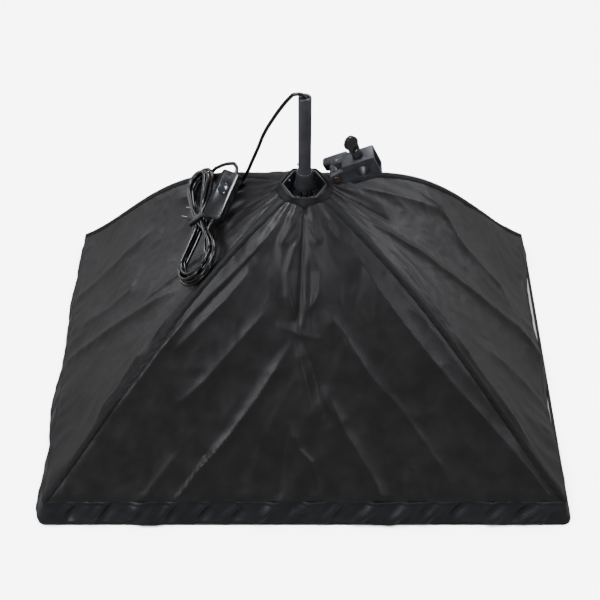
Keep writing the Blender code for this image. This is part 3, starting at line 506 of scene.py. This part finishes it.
def foldHeight(panel, t, a):
    width, length = panelSize(panel, t)
    x, y = a * width, t * length
    total = np.zeros_like(t)
    for points, height, wide in folds[panel]:
        times = np.array([p[0] for p in points])
        widths, _ = panelSize(panel, np.clip(times, 0, 1))
        px = np.array([p[1] for p in points]) * widths
        py = times * length
        nearest = np.full(t.shape, 9.0)
        share = np.zeros_like(t)
        run = np.concatenate(([0], np.cumsum(np.hypot(np.diff(px), np.diff(py)))))
        for i in range(len(points) - 1):
            dx, dy = px[i + 1] - px[i], py[i + 1] - py[i]
            s = np.clip(((x - px[i]) * dx + (y - py[i]) * dy) / (dx * dx + dy * dy), 0, 1)
            d = np.hypot(x - px[i] - s * dx, y - py[i] - s * dy)
            closer = d < nearest
            nearest = np.where(closer, d, nearest)
            share = np.where(closer, (run[i] + s * (run[i + 1] - run[i])) / run[-1], share)
        ends = np.clip(share / 0.18, 0, 1)
        if times[-1] <= 1:
            ends = ends * np.clip((1 - share) / 0.18, 0, 1)
        if times[0] == 0:
            ends = np.clip((1 - share) / 0.2, 0, 1)
        total += canopy["foldDepth"] * height / 1000 * ends * np.exp(-(nearest / (wide / 1000)) ** 1.15)
    return total


def wrinkles(panel, t, a):
    width, length = panelSize(panel, t)
    seed = {"near": 1.0, "far": 2.3, "left": 3.7, "right": 5.1}[panel]
    x, y = a * width, t * length
    total = np.zeros(t.size)
    broadHeight, sharpHeight, smallHeight = canopy["wrinkles"]
    for i, (u, v) in enumerate(zip(x.ravel(), y.ravel())):
        broad = noise.noise(Vector((u * 13, v * 9, seed)))
        sharp = 1 - abs(noise.noise(Vector((u * 26 + v * 9, v * 14 - u * 6, seed + 9)))) * 2
        small = 1 - abs(noise.noise(Vector((u * 70, v * 44, seed + 17)))) * 2
        total[i] = broadHeight * broad + sharpHeight * sharp + smallHeight * small
    pucker = np.exp(-y / 0.045) * np.cos(a * 21 + seed) * 0.0012
    foot = np.exp(-(length - y) / 0.022) * np.cos(x * 230 + 3 * np.sin(x * 41 + seed)) * 0.0007
    return total.reshape(t.shape) + pucker + foot


def edgeFade(panel, t, a):
    width, length = panelSize(panel, t)
    room = np.minimum(0.012, 0.4 * width)
    fade = np.clip((1 - np.abs(a)) * width / room, 0, 1)
    foot = 0.15 + 0.85 * np.clip((1 - t) * length / 0.010, 0, 1)
    head = 0.3 + 0.7 * np.clip(t * length / 0.012, 0, 1)
    return fade * fade * (3 - 2 * fade) * foot * head


def hemPull(y):
    # on the right the hem is drawn in between its pinned places, and the white cloth shows past it
    pull = np.zeros_like(y)
    for start, end, depth in canopy["drawnIn"]:
        pull += depth * np.sin(np.pi * np.clip((y - start) / (end - start), 0, 1)) ** 0.7
    return pull


def panelSurface(panel, t, a):
    step = 0.002
    base = panelBase(panel, t, a)
    alongT = panelBase(panel, t + step, a) - panelBase(panel, t - step, a)
    alongA = panelBase(panel, t, a + step) - panelBase(panel, t, a - step)
    normal = unit(np.cross(alongT, alongA))
    normal *= np.where(normal[..., 2:] < 0, -1, 1)
    height = (foldHeight(panel, t, a) + wrinkles(panel, t, a)) * edgeFade(panel, t, a)
    made = base + normal * height[..., None]
    if panel == "right":
        foot = np.clip((t - canopy["drawnFrom"]) / (1 - canopy["drawnFrom"]), 0, 1)
        made[..., 0] -= hemPull(made[..., 1]) * foot * foot * (3 - 2 * foot)
    return made


def gridNormals(points):
    rows = np.gradient(points, axis=0)
    columns = np.gradient(points, axis=1)
    return unit(np.cross(rows, columns))


def normalsTowards(points, way):
    normals = gridNormals(points)
    return -normals if (normals @ np.array(way)).mean() < 0 else normals


def doubleCloth(name, points, normals, uvs, thickness):
    # outer skin and lining, closed round the rim, with the skin's own smooth normals
    rows, columns = points.shape[:2]
    outer = points.reshape(-1, 3)
    inner = (points - normals * thickness).reshape(-1, 3)
    count = rows * columns
    index = np.arange(count).reshape(rows, columns)
    faces = []
    for i in range(rows - 1):
        for j in range(columns - 1):
            quad = (index[i, j], index[i + 1, j], index[i + 1, j + 1], index[i, j + 1])
            faces.append(tuple(int(k) for k in quad))
    skin = len(faces)
    faces += [tuple(k + count for k in reversed(quad)) for quad in faces[:skin]]
    rim = list(index[0, :]) + list(index[1:, -1]) + list(index[-1, -2::-1]) + list(index[-2:0:-1, 0])
    for p, q in zip(rim, rim[1:] + rim[:1]):
        faces.append((int(p), int(q), int(q) + count, int(p) + count))
    obj = objectFrom(name, np.vstack((outer, inner)), faces, np.vstack((uvs.reshape(-1, 2),) * 2))
    mesh = obj.data
    for face in mesh.polygons:
        face.use_smooth = True
        face.material_index = 1 if skin <= face.index < 2 * skin else 0
    flatNormals = normals.reshape(-1, 3)
    mesh.normals_split_custom_set_from_vertices(np.vstack((flatNormals, -flatNormals)).tolist())
    return obj


def clothArea(points):
    a, b = points[1:, :-1] - points[:-1, :-1], points[:-1, 1:] - points[:-1, :-1]
    return float(np.linalg.norm(np.cross(a, b), axis=-1).sum())


halves = {}
for panel, (side, low, high) in panels.items():
    across = canopy["longColumns"] if side[1] else canopy["shortColumns"]
    t = np.linspace(0, 1, canopy["rows"])
    for corner, sign in ((low, -1), (high, 1)):
        # one spare column past the middle gives both halves the same normals there
        a = np.linspace(-1 / across, 1, across + 2) * sign
        gridT, gridA = np.meshgrid(t, a, indexing="ij")
        points = panelSurface(panel, gridT, gridA)
        normals = normalsTowards(points, (0.0, 0.0, 1.0))
        points, normals = points[:, 1:], normals[:, 1:]
        width, length = panelSize(panel, gridT[:, 1:])
        uvs = np.stack((gridA[:, 1:] * width, gridT[:, 1:] * length), axis=-1)
        flat = (float(width[-1, 0]), length)
        area = clothArea(panelBase(panel, gridT[:, 1:], gridA[:, 1:]))
        if np.cross(points[1, 0] - points[0, 0], points[0, 1] - points[0, 0])[2] < 0:
            points, normals, uvs = points[:, ::-1], normals[:, ::-1], uvs[:, ::-1]
        half = doubleCloth(f"canopy_{panel}_{corner}", points, normals, uvs, canopy["thickness"])
        half.data.materials.append(blackNylon)
        half.data.materials.append(silverLining)
        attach(half, f"rib_arm_{corner}")
        halves[corner, panel] = (half, flat, area)
print("canopy is cut and folded")


# hem
hem = {"cornerTop": .003, "cornerFoot": .010, "welt": .0016, "columns": 110, "rows": 22, "thickness": .0009,
       "width": .037}


def hemPath(half, radius, along, u):
    # u runs from the side's middle to the corner's own middle; returns the place and the way out
    long = along == "long"
    reach = (half[0] if long else half[1]) - radius
    arcLength = radius * math.pi / 4
    run = u * (reach + arcLength)
    straight = np.minimum(run, reach)
    angle = np.maximum(run - reach, 0) / max(radius, 1e-9)
    first = straight + radius * np.sin(angle)
    second = (half[1] if long else half[0]) - radius + radius * np.cos(angle)
    outFirst, outSecond = np.sin(angle), np.cos(angle)
    if long:
        return np.stack((first, second), -1), np.stack((outFirst, outSecond), -1)
    return np.stack((second, first), -1), np.stack((outSecond, outFirst), -1)


hemWaves = {"near": 1.9, "far": 1.5, "left": 0.9, "right": 0.7}
# outward bulges at the foot: place along the side, half width and depth in metres
hemBulges = {
    "left": [(-.06, .05, .0075), (.12, .05, .004), (-.215, .05, .0055)], "right": [],
    "near": [(-.2, .03, .003), (.1, .05, .0025), (.27, .03, .003), (-.34, .03, .003)], "far": [(0.1, .1, .002)]}
for panel, (side, low, high) in panels.items():
    along = "long" if side[1] else "short"
    for corner, sign in ((low, -1), (high, 1)):
        sx, sy = corners[corner]
        u = np.linspace(-1 / hem["columns"], 1, hem["columns"] + 2)
        v = np.linspace(0, 1, hem["rows"])
        gridV, gridU = np.meshgrid(v, u, indexing="ij")
        top, outTop = hemPath(canopy["hemTopHalf"], hem["cornerTop"], along, np.abs(gridU))
        foot, outFoot = hemPath(canopy["hemFootHalf"], hem["cornerFoot"], along, np.abs(gridU))
        past = np.where(gridU < 0, -1, 1)
        plan = top + (foot - top) * gridV[..., None]
        out = unit(outTop * (1 - gridV[..., None]) + outFoot * gridV[..., None])
        place = plan[..., 0] if along == "long" else plan[..., 1]
        place = place * past * sign
        seed = {"near": 0.0, "far": 1.9, "left": 3.1, "right": 4.4}[panel]
        cornerShare = np.clip((1 - np.abs(gridU)) / 0.08, 0, 1)
        wave = hemWaves[panel] * (0.0016 * np.sin(place * 62 + 2 * np.sin(place * 23 + seed))
                                  + 0.0011 * np.sin(place * 141 + seed * 2 + 5 * gridV)
                                  + 0.0008 * np.sin(place * 290 + 7 * gridV + seed))
        push = wave * np.sin(np.pi * np.clip(gridV * 0.85 + 0.08, 0, 1)) * cornerShare
        for middle, wide, depth in hemBulges[panel]:
            push += depth * np.exp(-((place - middle) / wide) ** 2) * gridV ** 1.2 * cornerShare
        if panel == "right":
            push -= hemPull(place) * (1 - 0.15 * gridV)
        push += hem["welt"] * np.sin(np.pi * np.clip(gridV / 0.09, 0, 1))
        push -= 0.0008 * np.exp(-((gridV - 0.13) / 0.03) ** 2)
        push += 0.0009 * np.exp(-((gridV - 0.93) / 0.05) ** 2)
        plan = plan + out * push[..., None]
        z = canopy["footZ"] + (canopy["hemFootZ"] - canopy["footZ"]) * gridV
        if along == "long":
            points = np.stack((plan[..., 0] * past * sx, plan[..., 1] * sy, z), -1)
        else:
            points = np.stack((plan[..., 0] * sx, plan[..., 1] * past * sy, z), -1)
        outward = np.array((side[0], side[1], 0.0))
        normals = normalsTowards(points, outward)
        points, normals = points[:, 1:], normals[:, 1:]
        uvs = np.stack((place[:, 1:], gridV[:, 1:] * hem["width"]), -1)
        if np.cross(points[1, 2] - points[0, 2], points[0, 3] - points[0, 2]) @ outward < 0:
            points, normals, uvs = points[:, ::-1], normals[:, ::-1], uvs[:, ::-1]
        strip = doubleCloth(f"hem_{panel}_{corner}", points, normals, uvs, hem["thickness"])
        strip.data.materials.append(hemNylon)
        strip.data.materials.append(silverLining)
        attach(strip, f"rib_arm_{corner}")
        half, flat, area = halves[corner, panel]
        if along == "long":
            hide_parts(f"canopy_{corner}")
            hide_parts(f"hem_{corner}")
        for piece in (strip, half):
            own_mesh(piece)
print("hem is sewn on")


# taped seams over the ribs
tape = {"halfWidth": .0062, "height": .0013, "thickness": .0008, "rows": 120, "columns": 13}
for corner, (sx, sy) in corners.items():
    longPanel = "near" if sy < 0 else "far"
    shortPanel = "left" if sx < 0 else "right"
    t = np.linspace(0.0, 1.0, tape["rows"])
    rail = []
    for k in np.linspace(-1, 1, tape["columns"]):
        panel = longPanel if k < 0 else shortPanel
        low = panels[panel][1]
        width, _ = panelSize(panel, t)
        edge = -1 if low == corner else 1
        a = edge * (1 - abs(k) * tape["halfWidth"] / width)
        rail.append(panelSurface(panel, t, a))
    points = np.stack(rail, axis=1)
    normals = normalsTowards(points, (0.0, 0.0, 1.0))
    k = np.linspace(-1, 1, tape["columns"])[None, :]
    run = t[:, None] * 0.45
    raised = tape["height"] * (1 - np.abs(k) ** 3) + 0.0004 + 0.0004 * np.sin(run * 420) * np.abs(k)
    points = points + normals * raised[..., None]
    uvs = np.stack((np.repeat(k * tape["halfWidth"], len(t), 0), np.repeat(run, tape["columns"], 1)), -1)
    if np.cross(points[1, 0] - points[0, 0], points[0, 1] - points[0, 0])[2] < 0:
        points, uvs = points[:, ::-1], uvs[:, ::-1]
    seam = doubleCloth(f"rib_tape_{corner}", points, normalsTowards(points, (0.0, 0.0, 1.0)), uvs, tape["thickness"])
    seam.data.materials.append(ribTape)
    seam.data.materials.append(ribTape)
    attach(seam, f"rib_arm_{corner}")
print("rib seams are taped")


# front: white diffuser with its binding
front = {"clothHalf": (.3466, .2466), "clothZ": .0022, "clothThickness": .0006, "tapeWidth": .0048,
         "tapeHeight": .0026, "cornerRadius": .012}
quarters = ((1, 1), (-1, 1), (-1, -1), (1, -1))


def roundedLoop(half, radius, perCorner=8, perSide=24):
    loop = []
    for i, (sx, sy) in enumerate(quarters):
        centre = np.array((sx * (half[0] - radius), sy * (half[1] - radius)))
        for j in range(perCorner + 1):
            angle = math.radians(90 * i + 90 * j / perCorner)
            loop.append(centre + radius * np.array((math.cos(angle), math.sin(angle))))
        nextX, nextY = quarters[(i + 1) % 4]
        nextCentre = np.array((nextX * (half[0] - radius), nextY * (half[1] - radius)))
        angle = math.radians(90 * (i + 1))
        nextPoint = nextCentre + radius * np.array((math.cos(angle), math.sin(angle)))
        for j in range(1, perSide):
            loop.append(loop[(perCorner + perSide) * i + perCorner] * (1 - j / perSide) + nextPoint * j / perSide)
    return np.array(loop)


x = np.linspace(-1, 1, 90) * front["clothHalf"][0]
y = np.linspace(-1, 1, 66) * front["clothHalf"][1]
gridX, gridY = np.meshgrid(x, y, indexing="ij")
ripple = 0.0004 * np.sin(gridX * 31 + 2 * np.sin(gridY * 17)) * np.sin(gridY * 26 + 1)
points = np.stack((gridX, gridY, front["clothZ"] - front["clothThickness"] + ripple), -1)
diffuser = doubleCloth("diffuser_cloth", points, gridNormals(points), np.stack((gridX, gridY), -1),
                       front["clothThickness"])
diffuser.data.materials.append(whiteDiffuser)
diffuser.data.materials.append(whiteDiffuser)
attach(diffuser, "front")
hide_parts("diffuser")

outerLoop = roundedLoop([h - .0004 for h in canopy["frontHalf"]], front["cornerRadius"])
innerLoop = roundedLoop([h - front["tapeWidth"] for h in canopy["frontHalf"]],
                        front["cornerRadius"] - front["tapeWidth"])
section = [(0.0, .35), (0.0, .8), (.15, 1.0), (.5, 1.05), (.85, 1.0), (1.0, .8), (1.0, .35), (.85, .12), (.15, .12)]
rings = []
for share, lift in section:
    loopPlan = outerLoop * (1 - share) + innerLoop * share
    rings.append(np.column_stack((loopPlan, np.full(len(loopPlan), lift * front["tapeHeight"] * 0.95))))
count = len(outerLoop)
points = np.vstack(rings)
faces = []
for i in range(len(section)):
    for j in range(count):
        a0, a1 = i * count + j, i * count + (j + 1) % count
        b0, b1 = ((i + 1) % len(section)) * count + j, ((i + 1) % len(section)) * count + (j + 1) % count
        faces.append((a0, a1, b1, b0))
binding = objectFrom("front_tape", points, faces, points[:, :2])
binding.data.shade_smooth()
dress(binding, ribTape, "front", ["front_binding"])
print("front is made")


# hub
hub = {"ringRadius": .0278, "collarColumns": 144, "clips": (-118, -97, -78, -58, 62, 118), "screws": (150, 90, 210)}


def polygonRadius(polygon, angle):
    # how far a polygon round the middle reaches at an angle
    reach = 9.0
    for (r0, a0), (r1, a1) in zip(polygon, polygon[1:] + polygon[:1]):
        p, q = np.array((r0 * math.cos(a0), r0 * math.sin(a0))), np.array((r1 * math.cos(a1), r1 * math.sin(a1)))
        d = np.array((math.cos(angle), math.sin(angle)))
        side = q - p
        cross = d[0] * side[1] - d[1] * side[0]
        if abs(cross) > 1e-12:
            s = (p[0] * side[1] - p[1] * side[0]) / cross
            u = (p[0] * d[1] - p[1] * d[0]) / cross
            if s > 0 and -1e-6 <= u <= 1 + 1e-6:
                reach = min(reach, s)
    return reach


ribAzimuth = math.atan2(canopy["frontHalf"][1], canopy["frontHalf"][0])
clothMouth = [(canopy["midStart"][0], 0)]
for i, (low, high) in enumerate(((ribAzimuth, math.pi / 2), (math.pi - ribAzimuth, math.pi),
                                 (math.pi + ribAzimuth, 1.5 * math.pi), (2 * math.pi - ribAzimuth, 2 * math.pi))):
    clothMouth.append((canopy["ridgeStart"][0], low))
    if i < 3:
        clothMouth.append((canopy["midStart"][1] if i % 2 == 0 else canopy["midStart"][0], high))
sixSides = [(hub["ringRadius"], math.radians(60 * i)) for i in range(6)]
profile = [(1.10, -.0030), (1.0, .0002), (.82, .0030), (.62, .0048), (.42, .0070), (.30, .0086), (.16, .0092),
           (.03, .0086), (-.02, .0070), (-.03, .0050)]
rings = []
angles = np.linspace(0, 2 * math.pi, hub["collarColumns"], endpoint=False)
for share, lift in profile:
    ring = []
    for angle in angles:
        outer, inner = polygonRadius(clothMouth, angle), polygonRadius(sixSides, angle) + .0004
        wobble = 1 + 0.10 * math.sin(angle * 18) * min(1, max(0, share)) * 0.3
        radius = inner + (outer + .0012 - inner) * share * wobble
        ring.append((radius * math.cos(angle), radius * math.sin(angle), canopy["ridgeStart"][1] + lift - .0004))
    rings.append(ring)
points = np.array(rings)
closed = np.concatenate((points, points[:, :1]), axis=1)
normals = gridNormals(closed)
if normals[2, :, 2].mean() < 0:
    normals = -normals
uvs = np.stack((np.repeat((np.arange(closed.shape[1]) * .0013)[None, :], len(profile), 0),
                np.repeat((np.arange(len(profile)) * .0016)[:, None], closed.shape[1], 1)), -1)
closed, normals, uvs = closed[:, ::-1], normals[:, ::-1], uvs[:, ::-1]
if np.cross(closed[3, 0] - closed[2, 0], closed[2, 1] - closed[2, 0])[2] < 0:
    closed, normals, uvs = closed[:, ::-1], normals[:, ::-1], uvs[:, ::-1]
collar = doubleCloth("hub_collar", closed, normals, uvs, 0.0007)
collar.data.materials.append(ribTape)
collar.data.materials.append(ribTape)
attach(collar, "hub")

refined("hub_ring", "hub_ring_wall", ringPlastic, "hub", 0.0007, 3)
refined("hub_spider", "hub_spider_plate", hubPlastic, "hub", 0.0004, 2)
refined("hub_boss", "hub_boss_sleeve", hubPlastic, "hub", 0.0003, 2, 30, 60)
refined("spring_collet", "spring_collet_fingers", steel, "hub", 0.0002, 1, 50, 40)
refined("bracket_ear", "bracket_ear_plate", bracketPlastic, "hub", 0.0007, 3)


def slottedScrew(name, at, facing, radius, material, body):
    # a pan-head screw: a low drum, its rim rounded, its slot pressed in
    bpy.ops.object.select_all(action="DESELECT")
    turn = Vector(facing).to_track_quat("Z", "Y").to_euler()
    bpy.ops.mesh.primitive_cylinder_add(vertices=24, radius=radius, depth=radius * 0.8, location=at, rotation=turn)
    obj = bpy.context.object
    obj.name = name
    bpy.ops.object.mode_set(mode="EDIT")
    bpy.ops.mesh.select_mode(type="FACE")
    bpy.ops.mesh.select_all(action="DESELECT")
    bpy.ops.object.mode_set(mode="OBJECT")
    for face in obj.data.polygons:
        face.select = face.normal.z > 0.9
    bpy.ops.object.mode_set(mode="EDIT")
    bpy.ops.mesh.inset(thickness=radius * 0.45, depth=radius * 0.12)
    bpy.ops.mesh.inset(thickness=radius * 0.12, depth=-radius * 0.25)
    bpy.ops.object.mode_set(mode="OBJECT")
    edge = obj.modifiers.new("rolled rim", "BEVEL")
    edge.width = radius * 0.14
    edge.segments = 2
    edge.limit_method = "ANGLE"
    edge.angle_limit = math.radians(35)
    applyAll(obj)
    settle(obj)
    bpy.ops.object.shade_smooth_by_angle(angle=math.radians(40))
    return dress(obj, material, body)


for i, degrees in enumerate(hub["clips"]):
    # a bright spring clip stands between boss and ring
    bpy.ops.object.select_all(action="DESELECT")
    way = Vector((math.cos(math.radians(degrees)), math.sin(math.radians(degrees)), 0))
    bpy.ops.mesh.primitive_cube_add(size=1, location=way * .0172 + Vector((0, 0, .3605)),
                                    rotation=(0, 0, math.radians(degrees)), scale=(.0009, .0026, .0150))
    clip = bpy.context.object
    clip.name = f"spring_clip_{i + 1}"
    settle(clip)
    bpy.ops.object.mode_set(mode="EDIT")
    bpy.ops.mesh.select_all(action="SELECT")
    bpy.ops.mesh.subdivide(number_cuts=4)
    bpy.ops.object.mode_set(mode="OBJECT")
    for vertex in clip.data.vertices:
        lift = (vertex.co.z - .3530) / .0150
        vertex.co += way * (.0026 * math.sin(math.pi * lift) - .0012)
    edge = clip.modifiers.new("rolled edge", "BEVEL")
    edge.width = .0003
    edge.segments = 2
    edge.limit_method = "ANGLE"
    edge.angle_limit = math.radians(50)
    applyAll(clip)
    bpy.ops.object.shade_smooth_by_angle(angle=math.radians(40))
    dress(clip, steel, "hub")
ringWall = hub["ringRadius"] * math.cos(math.radians(30))
for i, degrees in enumerate(hub["screws"]):
    way = Vector((math.cos(math.radians(degrees)), math.sin(math.radians(degrees)), 0))
    place = way * (ringWall - .0030) + Vector((0, 0, .3712))
    slottedScrew(f"ring_screw_{i + 1}", tuple(place), tuple(-way), .0017, steel, "hub")
print("hub is made")


# lamp tube
tube = {"radius": .0077, "bore": .0062, "foot": .2560, "top": .5080, "slot": (.4020, .4850), "slotDegrees": -30,
        "slotHalfDegrees": 7.6, "collarSeam": .3735, "sides": 48}
bpy.ops.object.select_all(action="DESELECT")
bpy.ops.mesh.primitive_cylinder_add(vertices=tube["sides"], radius=tube["radius"], depth=tube["top"] - tube["foot"],
                                    end_fill_type="NOTHING", location=(0, 0, (tube["top"] + tube["foot"]) / 2))
pipe = bpy.context.object
pipe.name = "lamp_tube_pipe"
settle(pipe)
bpy.ops.object.mode_set(mode="EDIT")
for height in (*tube["slot"], tube["collarSeam"]):
    bpy.ops.mesh.select_all(action="SELECT")
    bpy.ops.mesh.bisect(plane_co=(0, 0, height), plane_no=(0, 0, 1))
bpy.ops.mesh.select_mode(type="FACE")
bpy.ops.mesh.select_all(action="DESELECT")
bpy.ops.object.mode_set(mode="OBJECT")
for face in pipe.data.polygons:
    turn = math.degrees(math.atan2(face.center.y, face.center.x)) - tube["slotDegrees"]
    face.select = abs(turn) < tube["slotHalfDegrees"] and tube["slot"][0] < face.center.z < tube["slot"][1]
bpy.ops.object.mode_set(mode="EDIT")
bpy.ops.mesh.delete(type="FACE")
bpy.ops.object.mode_set(mode="OBJECT")
wall = pipe.modifiers.new("tube wall", "SOLIDIFY")
wall.thickness = tube["radius"] - tube["bore"]
wall.offset = -1
edge = pipe.modifiers.new("broken edge", "BEVEL")
edge.width = .0003
edge.segments = 2
edge.limit_method = "ANGLE"
edge.angle_limit = math.radians(40)
applyAll(pipe)
bpy.ops.object.shade_smooth_by_angle(angle=math.radians(40))
dress(pipe, tubePaint, "shaft", ["lamp_tube"])
refined("tube_grommet", "tube_grommet_plug", holderPlastic, "shaft", 0.0003, 2)
refined("tube_catch", "tube_catch_pin", steel, "catch", 0.0, 1)
print("tube is made")


# stand bracket
refined("tilt_bracket", "tilt_bracket_body", bracketPlastic, "bracket", 0.0008, 3)
refined("tilt_bolt", "tilt_bolt_head", rivetSteel, "bracket", 0.0003, 2)
refined("tilt_knob", "tilt_knob_paddle", bracketPlastic, "knob", 0.0006, 2)
refined("stand_screw", "stand_screw_shank", steel, "screw", 0.0002, 1)
refined("stand_wing", "stand_wing_grip", wingPlastic, "screw", 0.0011, 3, 30, 60)
print("bracket is made")


# solids whose shape is right get their finishes
finishes = [(steel, ("rib_clip", "rib_pin", "rib_near", "rib_far", "stretcher")), (hubPlastic, ("rib_cap", "runner")),
            (holderPlastic, ("lamp_holder",)), (brass, ("lamp_screw", "lamp_centre", "plug_pin"))]
for name, node in nodes.items():
    for material, starts in finishes:
        if name.startswith(starts):
            for held in node.material_slots:
                held.material = material

bpy.ops.object.select_all(action="DESELECT")
bpy.ops.mesh.primitive_grid_add(x_subdivisions=8, y_subdivisions=8, size=80.0, location=(0, 0, -.0002))
floor = bpy.context.object
floor.name = "floor"
floor.data.materials.append(floorPaper)
floor.visible_glossy = False      # the white paper lights nothing but itself
floor.visible_diffuse = False
# a second sun falls on the paper alone and keeps it white
bpy.ops.object.light_add(type="SUN", location=(0, 0, 3))
paperSun = bpy.context.object
paperSun.name = "paper_light"
paperSun.data.energy = studio["paperSun"]
paperSun.data.angle = math.radians(studio["paperSunDegrees"])
paperGroup = bpy.data.collections.new("lit by the paper light")
paperGroup.objects.link(floor)
paperSun.light_linking.receiver_collection = paperGroup
print("floor is laid")
